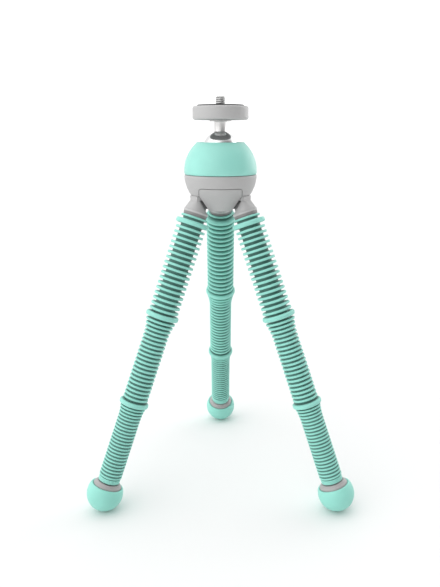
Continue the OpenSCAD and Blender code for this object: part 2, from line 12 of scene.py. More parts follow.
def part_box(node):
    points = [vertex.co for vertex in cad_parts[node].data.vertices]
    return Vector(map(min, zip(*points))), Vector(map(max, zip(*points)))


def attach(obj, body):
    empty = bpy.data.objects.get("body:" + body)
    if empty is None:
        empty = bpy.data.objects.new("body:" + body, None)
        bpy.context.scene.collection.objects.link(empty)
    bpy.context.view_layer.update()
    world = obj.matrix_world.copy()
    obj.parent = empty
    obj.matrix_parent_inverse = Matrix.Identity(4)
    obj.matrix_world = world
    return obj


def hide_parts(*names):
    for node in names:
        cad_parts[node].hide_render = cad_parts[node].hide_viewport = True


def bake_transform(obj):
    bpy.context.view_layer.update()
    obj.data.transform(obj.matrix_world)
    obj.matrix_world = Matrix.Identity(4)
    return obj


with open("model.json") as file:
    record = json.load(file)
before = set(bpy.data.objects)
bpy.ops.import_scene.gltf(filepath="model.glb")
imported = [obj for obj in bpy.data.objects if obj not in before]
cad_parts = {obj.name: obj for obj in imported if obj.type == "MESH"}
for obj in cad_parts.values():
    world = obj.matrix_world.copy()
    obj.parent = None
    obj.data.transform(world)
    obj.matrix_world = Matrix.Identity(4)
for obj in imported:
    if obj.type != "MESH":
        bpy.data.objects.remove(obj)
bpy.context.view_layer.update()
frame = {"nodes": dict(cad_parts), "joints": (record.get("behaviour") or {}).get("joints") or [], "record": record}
nodes = frame["nodes"]
joints = {j["name"]: j for j in frame["joints"]}
mounts = {m["name"]: m for m in frame["record"]["mounts"]}

BODY_OF = {}
for body, members in frame["record"]["behaviour"]["bodies"].items():
    for member in members:
        BODY_OF[member] = body

MM = 0.001
TINY = 0.02 * MM
SIDES = ("left", "right", "rear")

# Linear colours, as the photograph shows the surfaces in even light
MINT = (0.30, 0.71, 0.615)
# Painted shade for the grooves between the ribs, darkest at the core
MINT_GROOVE_SHADE = (0.10, 0.235, 0.205)
MINT_RING = (0.308, 0.71, 0.622)
LIGHT_GREY = (0.452, 0.45, 0.45)
DARK_GREY = (0.09, 0.09, 0.093)
RING_GREY = (0.385, 0.375, 0.375)
# Painted shade for the band below a bracket's ridge
BAND_SHADE_GREY = (0.25, 0.235, 0.235)
# Painted shade, for the platform's underside and the bracket webs
UNDER_SHADE_GREY = (0.19, 0.19, 0.19)
PAD_GREY = (0.065, 0.066, 0.068)
NYLON_GREY = (0.17, 0.18, 0.19)
CHROME = (0.78, 0.78, 0.785)
SATIN = (0.70, 0.69, 0.685)
STEEL = (0.72, 0.72, 0.715)
BLASTED = (0.58, 0.58, 0.575)


# Materials


class Graph:
    """Builds one node material, a node at a time."""

    def __init__(self, name):
        self.material = bpy.data.materials.new(name)
        self.material.use_nodes = True
        self.tree = self.material.node_tree
        self.shader = self.tree.nodes["Principled BSDF"]

    def node(self, kind, **inputs):
        made = self.tree.nodes.new(kind)
        for key, value in inputs.items():
            name = key.replace("_", " ")
            if name in made.inputs:
                self.feed(made.inputs[name], value)
            else:
                setattr(made, key, value)
        return made

    def feed(self, socket, value):
        if isinstance(value, bpy.types.NodeSocket):
            self.tree.links.new(value, socket)
        else:
            socket.default_value = value

    def place(self):
        return self.node("ShaderNodeTexCoord").outputs["Object"]

    def noise(self, scale, detail=3.0, rough=0.55):
        made = self.node(
            "ShaderNodeTexNoise", Vector=self.place(), Scale=scale, Detail=detail, Roughness=rough
        )
        return made.outputs["Fac"]

    def spread(self, value, low, high, start=0.3, end=0.7):
        """Maps start to end onto low to high, without passing them."""
        made = self.node("ShaderNodeMapRange", Value=value)
        ends = (("From Min", start), ("From Max", end), ("To Min", low), ("To Max", high))
        for key, number in ends:
            made.inputs[key].default_value = number
        return made.outputs["Result"]

    def mix(self, factor, a, b):
        made = self.tree.nodes.new("ShaderNodeMix")
        made.data_type = "RGBA"
        for key, value in (("Factor", factor), ("A", a), ("B", b)):
            self.feed(made.inputs[key], (*value, 1.0) if isinstance(value, tuple) else value)
        return made.outputs["Result"]

    def drifting(self, colour, scale, low, high, detail=2.0):
        """A colour that drifts slowly between two shades of itself."""
        drift = self.spread(self.noise(scale, detail), 0.0, 1.0)
        return self.mix(drift, shade(colour, low), shade(colour, high))

    def bump(self, height, strength, distance, normal=None):
        made = self.node("ShaderNodeBump", Height=height, Strength=strength, Distance=distance)
        if normal is not None:
            self.feed(made.inputs["Normal"], normal)
        return made.outputs["Normal"]

    def rounded(self, radius):
        made = self.node("ShaderNodeBevel", Radius=radius)
        made.samples = 6
        return made.outputs["Normal"]

    def attribute(self, name):
        made = self.node("ShaderNodeAttribute")
        made.attribute_name = name
        return made.outputs["Fac"]

    def finish(self, **inputs):
        for key, value in inputs.items():
            self.feed(self.shader.inputs[key.replace("_", " ")], value)
        return self.material


def shade(colour, factor):
    return tuple(min(1.0, c * factor) for c in colour)


def mould(g, tone, rough, grain, depth, edge=None, specular=0.5):
    """Finishes a moulded plastic: a fine spark texture over softened edges."""
    normal = g.rounded(edge) if edge else None
    return g.finish(
        Base_Color=tone,
        Roughness=g.spread(g.noise(grain * 0.35), *rough),
        Specular_IOR_Level=specular,
        Normal=g.bump(g.noise(grain, rough=0.6), strength=0.5, distance=depth, normal=normal),
    )


def moulded(name, colour, rough, grain, depth, edge=None, specular=0.5):
    """Moulded plastic or paint, with slow colour drift and faint dark specks."""
    g = Graph(name)
    tone = g.drifting(colour, scale=55.0, low=0.965, high=1.02)
    speck = g.spread(g.noise(grain * 0.6, detail=4.0), low=0.0, high=0.12)
    tone = g.mix(speck, tone, shade(colour, 0.86))
    return mould(g, tone, rough, grain, depth, edge, specular)


def rubber(name, colour, groove_shade, rough):
    """Soft silicone skin: matt, with a faint sheen, fine grain and painted shade that darkens its grooves."""
    g = Graph(name)
    tone = g.drifting(colour, scale=70.0, low=0.96, high=1.02)
    # Painted shade: the depth attribute darkens the grooves towards the core
    tone = g.mix(g.attribute("depth"), tone, groove_shade)
    fine = g.bump(g.noise(5200.0, rough=0.6), strength=0.35, distance=0.04 * MM)
    slow = g.bump(g.noise(420.0, detail=2.0), strength=0.2, distance=0.06 * MM, normal=fine)
    return g.finish(
        Base_Color=tone,
        Roughness=g.spread(g.noise(900.0), *rough),
        Sheen_Weight=0.12,
        Sheen_Roughness=0.45,
        Specular_IOR_Level=0.42,
        Normal=slow,
    )


def metal(name, colour, rough, grain, strength):
    """Bare or plated metal, with faint rub marks in its gloss."""
    g = Graph(name)
    marks = g.noise(grain, detail=5.0, rough=0.65)
    return g.finish(
        Base_Color=g.drifting(colour, scale=90.0, low=0.97, high=1.01, detail=3.0),
        Metallic=1.0,
        Roughness=g.spread(marks, *rough),
        Normal=g.bump(marks, strength, distance=0.01 * MM),
    )


# The grey of the hub and the brackets
GREY_MOULD = {"rough": (0.42, 0.52), "grain": 3400.0, "depth": 0.03 * MM, "edge": 0.35 * MM}

mint_skin = rubber("mint_skin", MINT, MINT_GROOVE_SHADE, (0.5, 0.62))
mint_shell = moulded("mint_shell", MINT_RING, (0.30, 0.38), 3800.0, 0.015 * MM)
grey_shell = moulded("grey_shell", LIGHT_GREY, **GREY_MOULD)
disc_shell = moulded("disc_shell", LIGHT_GREY, (0.34, 0.42), 4200.0, 0.012 * MM)
dark_shell = moulded("dark_shell", DARK_GREY, (0.45, 0.55), 3000.0, 0.03 * MM)
ring_shell = moulded("ring_shell", RING_GREY, (0.42, 0.52), 3400.0, 0.03 * MM, edge=0.3 * MM)
# Painted shade, as a dark moulded material
under_shade_shell = moulded("under_shade_shell", UNDER_SHADE_GREY, (0.5, 0.6), 3000.0, 0.03 * MM)
pad_skin = moulded("pad_skin", PAD_GREY, (0.7, 0.82), 2600.0, 0.06 * MM, specular=0.3)
nylon = moulded("nylon", NYLON_GREY, (0.4, 0.5), 2400.0, 0.04 * MM)
chrome = metal("polished_chrome", CHROME, (0.11, 0.17), grain=1800.0, strength=0.05)
satin = metal("satin_stem", SATIN, (0.34, 0.40), grain=2200.0, strength=0.08)
blasted = metal("blasted_steel", BLASTED, (0.52, 0.60), grain=2600.0, strength=0.1)
steel = metal("turned_steel", STEEL, (0.40, 0.50), grain=2600.0, strength=0.2)


# Mesh code


def place_mesh(name, mesh, material):
    """Puts a mesh in the scene as a piece of one material."""
    mesh.materials.append(material)
    piece = bpy.data.objects.new(name, mesh)
    bpy.context.scene.collection.objects.link(piece)
    return piece


def build(name, points, faces, material, sharp=35.0):
    """A piece with smooth shading, but for its edges sharper than an angle in degrees."""
    mesh = bpy.data.meshes.new(name)
    mesh.from_pydata([tuple(p) for p in points], [], faces)
    shape = bmesh.new()
    shape.from_mesh(mesh)
    bmesh.ops.recalc_face_normals(shape, faces=shape.faces)
    shape.to_mesh(mesh)
    shape.free()
    mesh.shade_smooth()
    mesh.set_sharp_from_angle(angle=math.radians(sharp))
    return place_mesh(name, mesh, material)


def hull(name, points, material):
    """The convex piece round some points."""
    mesh = bpy.data.meshes.new(name)
    shape = bmesh.new()
    for point in points:
        shape.verts.new(point)
    made = bmesh.ops.convex_hull(shape, input=shape.verts)
    bmesh.ops.delete(shape, geom=made["geom_interior"], context="VERTS")
    bmesh.ops.recalc_face_normals(shape, faces=shape.faces)
    shape.to_mesh(mesh)
    shape.free()
    return place_mesh(name, mesh, material)


def stack_faces(rings, count):
    """The faces of a closed stack of rings, each with count points."""
    faces = []
    for i in range(0, (rings - 1) * count, count):
        for k in range(count):
            n = (k + 1) % count
            faces.append((i + k, i + n, i + count + n, i + count + k))
    top = (rings - 1) * count
    return faces + [tuple(reversed(range(count))), tuple(range(top, top + count))]


def lathe(name, outline, matrix, material, segments=96, depth=None, sharp=35.0):
    """Turns an outline of (radius, height) round Z. It closes on itself or on the axis."""
    points, faces, rows, values = [], [], [], []
    on_axis = 1e-7
    for i, (r, z) in enumerate(outline):
        count = 1 if r < on_axis else segments
        rows.append(list(range(len(points), len(points) + count)))
        values += [depth[i] if depth else 0.0] * count
        if count == 1:
            points.append(matrix @ Vector((0, 0, z)))
            continue
        for k in range(segments):
            turn = 2 * math.pi * k / segments
            points.append(matrix @ Vector((r * math.cos(turn), r * math.sin(turn), z)))
    pairs = list(zip(rows, rows[1:]))
    if len(rows[0]) > 1 and len(rows[-1]) > 1:
        pairs.append((rows[-1], rows[0]))
    for low, high in pairs:
        for k in range(segments):
            n = (k + 1) % segments
            if len(low) == 1:
                faces.append((low[0], high[n], high[k]))
            elif len(high) == 1:
                faces.append((low[k], low[n], high[0]))
            else:
                faces.append((low[k], low[n], high[n], high[k]))
    piece = build(name, points, faces, material, sharp)
    # The depth attribute carries painted groove shade, 0 on the crests and 1 at the core
    if depth:
        made = piece.data.attributes.new("depth", "FLOAT", "POINT")
        made.data.foreach_set("value", np.array(values, np.float32))
    return piece


def arc(centre_r, centre_z, radius, start, end, steps):
    """Points of (radius, height) along an arc. The angles are in degrees from straight outward."""
    made = []
    for k in range(steps + 1):
        a = math.radians(start + (end - start) * k / steps)
        made.append((centre_r + radius * math.cos(a), centre_z + radius * math.sin(a)))
    return made


def fit_circle(places, radii):
    """The centre on the axis and the radius of the circle through points of a sphere's outline."""
    slope, rest = np.polyfit(places, places**2 + radii**2, 1)
    return slope / 2, math.sqrt(rest + slope * slope / 4)


def near(values, places, place):
    """The values whose place along or from the axis is the one given."""
    return values[np.abs(places - place) < TINY]


def cad_points(node):
    """A CAD node's vertices, one to a row."""
    return np.array([v.co for v in nodes[node].data.vertices], float).reshape(-1, 3)


def round_coordinates(node, origin, axis):
    """Distances of a CAD node's vertices along and from an axis."""
    co = cad_points(node) - np.array(origin)
    along = co @ np.array(axis)
    away = np.linalg.norm(co - np.outer(along, np.array(axis)), axis=1)
    return along, away


def paint(piece, material, chosen):
    """Gives a second material to the faces that the test picks."""
    piece.data.materials.append(material)
    for face in piece.data.polygons:
        if chosen(face):
            face.material_index = 1


def cover(node, material):
    """Gives a CAD part its material."""
    mesh = nodes[node].data
    mesh.materials.clear()
    mesh.materials.append(material)


def dress(node, *pieces, slot):
    """Puts pieces in the place of a CAD part, on its body."""
    for piece in pieces:
        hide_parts(node)
        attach(piece, BODY_OF[node])


# The head


screw = mounts["camera_screw"]
head_x, head_y, _ = screw["pos_m"]
HEAD_SHARP = 40.0


def turned(node):
    """Heights and radii of a turned CAD part's vertices about the head's axis."""
    return round_coordinates(node, (head_x, head_y, 0.0), (0.0, 0.0, 1.0))


def head_point(reach, a, height):
    return Vector((head_x + reach * math.cos(a), head_y + reach * math.sin(a), height))


def head_lathe(name, outline, material, segments, sharp=HEAD_SHARP):
    matrix = Matrix.Translation(Vector((head_x, head_y, 0.0)))
    return lathe(name, outline, matrix, material, segments, sharp=sharp)


def lock_ring():
    """The mint upper half of the hub, with a round rim and a softened mouth."""
    z, r = turned("lock_ring")
    low, high, mouth = z.min(), z.max(), r.min()
    cavity = near(r, z, low).min()
    step = near(z, r, cavity).max()
    shoulder = near(z, r, mouth).min()
    inner = near(r, z, shoulder).max()
    clear, rim, lip, seam = 0.3 * MM, 1.0 * MM, 0.35 * MM, 0.9 * MM
    outside = (r > inner + clear) & ((z > step + TINY) | (r > cavity + clear))
    shell = outside & (z < high - 1.5 * MM)
    centre, radius = fit_circle(z[shell], r[shell])
    # The side ends a little below the top, where the rim's arc starts at 24 degrees
    rim_drop, rim_inset, rim_start = 0.62, 0.86, 24
    start = math.asin((low + seam - centre) / radius)
    end = math.asin((high - rim * rim_drop - centre) / radius)
    angles = np.linspace(start, end, 40)
    side = [(radius * math.cos(a), centre + radius * math.sin(a)) for a in angles]
    corner = side[-1][0] - rim * rim_inset
    outline = [(cavity, low), (side[0][0] - 0.5 * seam, low)] + side
    outline += arc(corner, high - rim, rim, rim_start, 90, 6)
    outline += [(mouth + lip, high)] + arc(mouth + lip, high - lip, lip, 90, 180, 4)[1:]
    outline += [(mouth, shoulder), (inner, shoulder), (inner, step), (cavity, step)]
    piece = head_lathe("lock_ring_shell", outline, mint_shell, 144)
    dress("lock_ring", piece, slot="mint_plastic")


def ball_and_stem():
    """The chrome ball, which runs through a fillet into the satin stem and its flange."""
    z, r = turned("ball_stem")
    centre = joints["head_tilt"]["pos_m"][2]
    radius = centre - z.min()
    top = z.max()
    flange = near(r, z, top).max()
    bore = near(r, z, top).min()
    flange_low = near(z, r, flange).min()
    stem = r[(np.abs(z - flange_low) < TINY) & (r < flange - MM)].max()
    floor = near(z, r, bore).min()
    fillet, upper_fillet, edge = 1.1 * MM, 0.4 * MM, 0.3 * MM
    join = math.acos((stem + fillet) / (radius + fillet))
    angles = np.linspace(-math.pi / 2, join, 72)
    outline = [(radius * math.cos(a), centre + radius * math.sin(a)) for a in angles]
    outline[0] = (0.0, centre - radius)
    foot = centre + (radius + fillet) * math.sin(join)
    outline += arc(stem + fillet, foot, fillet, 180 + math.degrees(join), 180, 6)[1:]
    outline += arc(stem + upper_fillet, flange_low - upper_fillet, upper_fillet, 180, 90, 4)
    outline += arc(flange - edge, flange_low + edge, edge, -90, 0, 4)
    outline += arc(flange - edge, top - edge, edge, 0, 90, 4)
    outline += [(bore, top), (bore, floor), (0.0, floor)]
    piece = head_lathe("ball_and_stem", outline, chrome, 128)
    paint(piece, satin, lambda face: face.center.z > foot - 0.5 * fillet)
    dress("ball_stem", piece, slot="polished_chrome")


def platform():
    """The round platform, with painted shade on its downward faces, which the ball's mirror shows dark."""
    z, r = turned("platform_disc")
    low, high, radius = z.min(), z.max(), r.max()
    side = near(z, r, radius)
    round_r = (side.min() - low + high - side.max()) / 2
    pad_seat = near(r, z, high).min()
    floor = near(z, r, pad_seat).min()
    recess = near(r, z, low).min()
    roof = near(z, r, recess).max()
    bore = r.min()
    edge = 0.25 * MM
    outline = [(recess, low)] + arc(radius - round_r, low + round_r, round_r, -90, 0, 12)
    outline += arc(radius - round_r, high - round_r, round_r, 0, 90, 12)
    outline += arc(pad_seat + edge, high - edge, edge, 90, 180, 4)
    outline += [(pad_seat, floor), (bore, floor), (bore, roof), (recess, roof)]
    piece = head_lathe("platform_shell", outline, disc_shell, 144)
    # Painted shade on the faces that look straight down
    paint(piece, under_shade_shell, lambda face: face.normal.z < -0.95)
    dress("platform_disc", piece, slot="light_grey_plastic")


def platform_pad():
    """The rubber pad, with a shallow groove near its rim."""
    z, r = turned("platform_pad")
    low, high, radius, bore = z.min(), z.max(), r.max(), r.min()
    edge = 0.3 * MM
    groove = 0.82 * radius
    mouth, bed, sunk = 0.5 * MM, 0.35 * MM, 0.22 * MM
    outline = [(bore, low), (radius, low)] + arc(radius - edge, high - edge, edge, 0, 90, 4)
    outline += [(groove + mouth, high), (groove + bed, high - sunk)]
    outline += [(groove - bed, high - sunk), (groove - mouth, high)]
    outline += arc(bore + edge, high - edge, edge, 90, 180, 4)
    piece = head_lathe("platform_rubber", outline, pad_skin, 144)
    dress("platform_pad", piece, slot="dark_rubber")


def screw_thread(start, high, major, relief):
    """A thread of 20 turns to the inch, from its relief neck to its chamfered tip."""
    pitch = 1.27 * MM
    minor = major - 0.2 * pitch
    tip, tip_slope, run_in_slope = 0.75 * MM, 1.1, 1.3
    flank, trough = 1.7, 0.2
    steps, turns = 150, 72
    points = []
    for i in range(steps + 1):
        height = start + (high - start) * i / steps
        for k in range(turns):
            phase = ((height - start) / pitch - k / turns) % 1.0
            wave = min(1.0, max(0.0, flank * abs(2 * phase - 1) - trough))
            grip = minor + (major - minor) * wave
            grip = min(grip, major - max(0.0, height - (high - tip)) * tip_slope)
            grip = min(grip, relief + max(0.0, height - start) * run_in_slope)
            a = 2 * math.pi * k / turns
            points.append(head_point(grip, a, height))
    return build("screw_thread", points, stack_faces(steps + 1, turns), blasted, HEAD_SHARP)


def camera_screw():
    """The quarter inch screw: its thread, its shank with a relief neck, and its drive flange."""
    z, r = turned("camera_screw")
    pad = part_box("platform_pad")[1].z
    low, high = z.min(), z.max()
    major = screw["dims"]["r_mm"] * MM
    start = pad + 0.35 * MM
    shank = r[z < low + TINY].max()
    relief = near(r, z, z[(z > pad) & (z < pad + MM)].min()).min()
    thread = screw_thread(start, high, major, relief)

    flange_low = z[(r > shank + MM) & (z < pad)].min()
    flange_high = z[(r > major + MM) & (z < pad)].max()
    flange = r.max()
    end_edge, overlap, edge = 0.3 * MM, 0.2 * MM, 0.2 * MM
    outline = [(0.0, low), (shank - end_edge, low), (shank, low + end_edge), (shank, flange_low)]
    outline += [(relief, flange_high), (relief, start + overlap), (0.0, start + overlap)]
    core = head_lathe("screw_shank", outline, blasted, 64, sharp=35.0)
    levels = (
        (flange_low, flange - edge),
        (flange_low + edge, flange),
        (flange_high - edge, flange),
        (flange_high, flange - edge),
    )
    points = []
    for height, reach in levels:
        for k in range(6):
            a = math.pi * k / 3
            points.append(head_point(reach, a, height))
    hexagon = build("screw_drive", points, stack_faces(len(levels), 6), blasted, 20.0)
    dress("camera_screw", thread, core, hexagon, slot="steel")


for name, material in (
    ("hub_body", grey_shell),
    ("front_panel", grey_shell),
    ("hub_cover", dark_shell),
    ("hip_screws", steel),
    ("cover_screws", steel),
    ("seat_washer", steel),
    ("ball_seat", dark_shell),
    ("clamp_ring", dark_shell),
    ("thrust_washer", steel),
    ("screw_clip", steel),
):
    cover(name, material)

lock_ring()
ball_and_stem()
platform()
platform_pad()
camera_screw()


# The legs

# Each leg's hinges from the top down, two to a section
BENDS = (
    "upper_link_bend_outward",
    "upper_joiner_bend_sideways",
    "middle_link_bend_outward",
    "lower_joiner_bend_sideways",
    "lower_link_bend_outward",
    "foot_bend_sideways",
)
SKELETON = ("upper_link", "upper_joiner", "middle_link", "lower_joiner", "lower_link", "foot_link")

# How far a ring has to stand out of a skin's core to belong to a rib or a band
RIB_RISE = 0.15 * MM
FILLET = 0.28 * MM
CREST_STEPS = 3
FILLET_STEPS = 3
# The bore has rings of its own, this far apart
BORE_STEP = 1.5 * MM
# The wall of the middle and lower beads, out from their bore
COLLAR_WALL = 1.4 * MM
RUBBER_SHARP = 50.0


def line_frame(origin, down):
    """A frame at origin whose Z axis runs opposite to down."""
    return Matrix.Translation(origin) @ (-down).to_track_quat("Z", "Y").to_matrix().to_4x4()


def leg_lathe(name, outline, matrix, material, segments, depth=None, sharp=35.0):
    """Turns an outline of (radius, place down the leg) round the leg's line."""
    return lathe(name, [(r, -z) for r, z in outline], matrix, material, segments, depth, sharp)


def measure_rings(node, origin, down):
    """The (place, radius) rings of a CAD sleeve or collar, with its core, bore and ends."""
    step = 0.005
    along, away = round_coordinates(node, origin, down)
    rings = np.round(np.c_[along, away] / (step * MM)).astype(int)
    rings = np.unique(rings, axis=0) * step * MM
    outer = rings[rings[:, 1] > away.min() + 0.3 * MM]
    return outer, outer[:, 1].min(), away.min(), along.min(), along.max()


def measure_ribs(outer, core, apart):
    """The (place, radius, thickness) of each rib that stands out of the core."""
    crests = outer[outer[:, 1] > core + RIB_RISE]
    crests = crests[np.argsort(crests[:, 0])]
    groups = [[crests[0]]]
    for row in crests[1:]:
        if row[0] - groups[-1][-1][0] > apart:
            groups.append([])
        groups[-1].append(row)
    ribs = []
    for group in groups:
        low, high = min(row[0] for row in group), max(row[0] for row in group)
        ribs.append(((low + high) / 2, max(row[1] for row in group), high - low))
    return ribs


def measure_band(outer, core, high):
    """The (start, radius) of the plain band at a sleeve's lower end, if it has one."""
    end_r = near(outer[:, 1], outer[:, 0], high).max()
    if end_r <= core + RIB_RISE:
        return None
    on_band = outer[np.abs(outer[:, 1] - end_r) < 0.4 * TINY][:, 0]
    on_band = np.unique(np.round(on_band / TINY)) * TINY
    return on_band[-2], end_r


def rib_outline(place, radius, thick, core, soft_low=True, soft_high=True):
    """One rib: root fillets, flanks and a round crest, as (radius, place, painted shade)."""
    root = min(FILLET, (radius - core) / 2)
    edge = 0.7 * min(thick / 2, radius - core)
    start, end = place - thick / 2, place + thick / 2
    low, high = [(core, start)], [(core, end)]
    if soft_low:
        low = arc(core + root, start - root, root, 180, 90, FILLET_STEPS)
    if soft_high:
        high = arc(core + root, end + root, root, 270, 180, FILLET_STEPS)
    made = low + arc(radius - edge, start + edge, edge, -90, 0, CREST_STEPS)
    made += arc(radius - edge, end - edge, edge, 0, 90, CREST_STEPS) + high
    # The painted groove shade starts below the crest and deepens to the core
    crest_share, curve = 0.85, 1.2
    shaded = []
    for r, z in made:
        share = (r - core) / (crest_share * (radius - core))
        shaded.append((r, z, 1 - min(1.0, max(0.0, share)) ** curve))
    return shaded


def band_outline(core, start, high, radius):
    """A plain band with soft edges and two fine grooves round it, as (radius, place, painted shade)."""
    edge = 0.3 * MM
    # tone is the painted shade in the two fine grooves
    half, sunk, tone = 0.16 * MM, 0.14 * MM, 0.45
    made = [(core, start, 1.0)]
    made += [(r, z, 0.0) for r, z in arc(radius - edge, start + edge, edge, -90, 0, 3)]
    for share in (0.36, 0.68):
        groove = start + share * (high - start)
        made += [(radius, groove - half, 0.0), (radius - sunk, groove, tone)]
        made.append((radius, groove + half, 0.0))
    return made + [(r, z, 0.0) for r, z in arc(radius - edge, high - edge, edge, 0, 90, 3)]


def skin(name, ribs, core, bore, low, high, matrix, band=None):
    """A closed tube of rubber with ribs, from low to high, perhaps with a band at its end."""
    chosen = [r for r in ribs if low < r[0] < high]
    # The bore and the core carry the full painted groove shade
    outline = [(bore, low, 1.0)]
    if chosen[0][0] - chosen[0][2] / 2 > low + FILLET:
        outline.append((core, low, 1.0))
    for place, radius, thick in chosen:
        soft_low = place - thick / 2 > low + FILLET
        soft_high = place + thick / 2 < high - FILLET
        outline += rib_outline(place, radius, thick, core, soft_low, soft_high)
    if band:
        outline += band_outline(core, band[0], high, band[1])
    elif chosen[-1][0] + chosen[-1][2] / 2 < high - FILLET:
        outline.append((core, high, 1.0))
    steps = round((high - low) / BORE_STEP)
    outline += [(bore, high + (low - high) * k / steps, 1.0) for k in range(steps)]
    kept = [outline[0]]
    for point in outline[1:]:
        if math.dist(point[:2], kept[-1][:2]) > 1e-6:
            kept.append(point)
    depth = [d for _, _, d in kept]
    rings = [(r, z) for r, z, _ in kept]
    return leg_lathe(name, rings, matrix, mint_skin, 84, depth, RUBBER_SHARP)


def dress_sleeves(side, origin, down, matrix):
    """Two skins to a sleeve, one to a hinge, split at the groove nearest the middle of the two."""
    bends = [joints[side + "_" + name] for name in BENDS]
    for row, part in enumerate(("upper", "middle", "lower")):
        node = "%s_%s_sleeve" % (side, part)
        outer, core, bore, low, high = measure_rings(node, origin, down)
        band = measure_band(outer, core, high)
        if band:
            outer = outer[outer[:, 0] < band[0] - TINY]
        ribs = measure_ribs(outer, core, 1.0 * MM)
        pair = bends[2 * row : 2 * row + 2]
        hinges = [(Vector(joint["pos_m"]) - origin).dot(down) for joint in pair]
        middle = sum(hinges) / 2
        troughs = [(a[0] + b[0]) / 2 for a, b in zip(ribs, ribs[1:])]
        split = min(troughs, key=lambda s: abs(s - middle))
        for k, (start, end) in enumerate(((low, split), (split, high))):
            name = "%s_%s_skin_%d" % (side, part, k + 1)
            piece = skin(name, ribs, core, bore, start, end, matrix, band if k else None)
            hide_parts(node)
            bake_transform(piece)


def dress_collars(side, origin, down, matrix):
    """The thick beads between the sections. The top one has a thin rib above it."""
    for part in ("top", "middle", "lower"):
        node = "%s_%s_collar" % (side, part)
        outer, core, bore, low, high = measure_rings(node, origin, down)
        if part == "top":
            ribs = measure_ribs(outer, core, 1.2 * MM)
        else:
            ribs = [((low + high) / 2, outer[:, 1].max(), high - low)]
            core = bore + COLLAR_WALL
        name = "%s_%s_bead" % (side, part)
        dress(node, skin(name, ribs, core, bore, low, high, matrix), slot="mint_rubber")


def dress_ring(side, origin, down, matrix):
    """The grey ring above the foot: a cone with a softened rim, a neck and a spigot."""
    node = side + "_foot_ring"
    along, away = round_coordinates(node, origin, down)
    top, low, wide, bore = along.min(), along.max(), away.max(), away.min()
    seat = near(along, away, wide).min()
    top_r = near(away, along, top).max()
    bore_end = near(along, away, bore).max()
    spigot_r = near(away, along, low).max()
    neck_r = away[along > seat + MM].max()
    neck_end = near(along, away, neck_r).max()
    sink = 0.45 * MM
    edge = 0.3 * MM
    # The neck is narrow below the rim and widens to just within the recess
    necks = ((0.35 * MM, 0.0), (0.12 * MM, 0.3 * MM), (0.05 * MM, 0.6 * MM))
    outline = [(0.0, bore_end), (bore, bore_end), (bore, top + sink)]
    outline += arc(top_r - edge, top + sink + edge, edge, 270, 360, 4)
    outline += [(neck_r - inset, seat + below) for inset, below in necks]
    outline += [(neck_r - necks[-1][0], neck_end), (spigot_r, neck_end)]
    outline += [(spigot_r, low), (0.0, low)]
    piece = leg_lathe(side + "_foot_collar", outline, matrix, ring_shell, 96)
    dress(node, piece, slot="light_grey_plastic")


def dress_foot(side, origin, down, matrix):
    """The rubber foot ball, with a soft lip below the ring and a hole for its spigot."""
    node = side + "_foot_ball"
    along, away = round_coordinates(node, origin, down)
    rim = along.min()
    mouth_r = near(away, along, rim).min()
    inner = near(along, away, mouth_r).max()
    spigot_r = away[(np.abs(along - inner) < TINY) & (away < mouth_r - 0.1 * MM)].min()
    floor = near(along, away, spigot_r).max()
    ball = away > mouth_r + 0.2 * MM
    centre, radius = fit_circle(along[ball], away[ball])
    crest, gap = 0.8 * MM, 0.1 * MM
    reach = mouth_r + gap + crest
    rise = math.sqrt((radius - crest) ** 2 - reach**2)
    turn = math.degrees(math.atan2(rise, reach))
    outline = [(0.0, floor), (spigot_r, floor), (spigot_r, inner), (mouth_r, inner)]
    outline += arc(reach, centre - rise, crest, 180, 360 - turn, 9)
    outline += arc(0.0, centre, radius, -turn, 90, 48)[1:-1] + [(0.0, centre + radius)]
    flat = [0.0] * len(outline)
    piece = leg_lathe(side + "_foot_rubber", outline, matrix, mint_skin, 96, flat, RUBBER_SHARP)
    dress(node, piece, slot="mint_rubber")


def paint_bracket(side, origin, down):
    """Paints a bracket with a painted highlight along the edge of its round end and painted shade on the band
    below it.

    Returns the ridge's place down the leg.
    """
    node = side + "_hip_bracket"
    step = 0.01
    along, away = round_coordinates(node, origin, down)
    rings = np.round(np.c_[along, away] / (step * MM)).astype(int)
    rings, count = np.unique(rings, axis=0, return_counts=True)
    # Only the round end has whole rings of points, and its edge is over 7 mm from the leg's line
    fewest, edge_r = 20, 7.0 / step
    ridge = rings[(count >= fewest) & (rings[:, 1] > edge_r)][:, 0].min() * step * MM
    highlight_width, band_start, band_full = 0.3 * MM, 1.2 * MM, 1.7 * MM
    g = Graph(side + "_bracket_shell")
    spot = g.node("ShaderNodeVectorMath", operation="SUBTRACT")
    g.feed(spot.inputs[0], g.place())
    spot.inputs[1].default_value = origin
    run = g.node("ShaderNodeVectorMath", operation="DOT_PRODUCT")
    g.feed(run.inputs[0], spot.outputs["Vector"])
    run.inputs[1].default_value = down
    place = run.outputs["Value"]
    tone = g.drifting(LIGHT_GREY, scale=55.0, low=0.965, high=1.02)
    # Painted highlight: a lighter strip just below the ridge
    painted_highlight = g.spread(place, 0.0, 1.0, ridge, ridge + highlight_width)
    tone = g.mix(painted_highlight, tone, shade(LIGHT_GREY, 1.12))
    # Painted shade: the round end's band further down turns dark grey
    painted_band_shade = g.spread(place, 0.0, 1.0, ridge + band_start, ridge + band_full)
    tone = g.mix(painted_band_shade, tone, BAND_SHADE_GREY)
    cover(node, mould(g, tone, **GREY_MOULD))
    return ridge


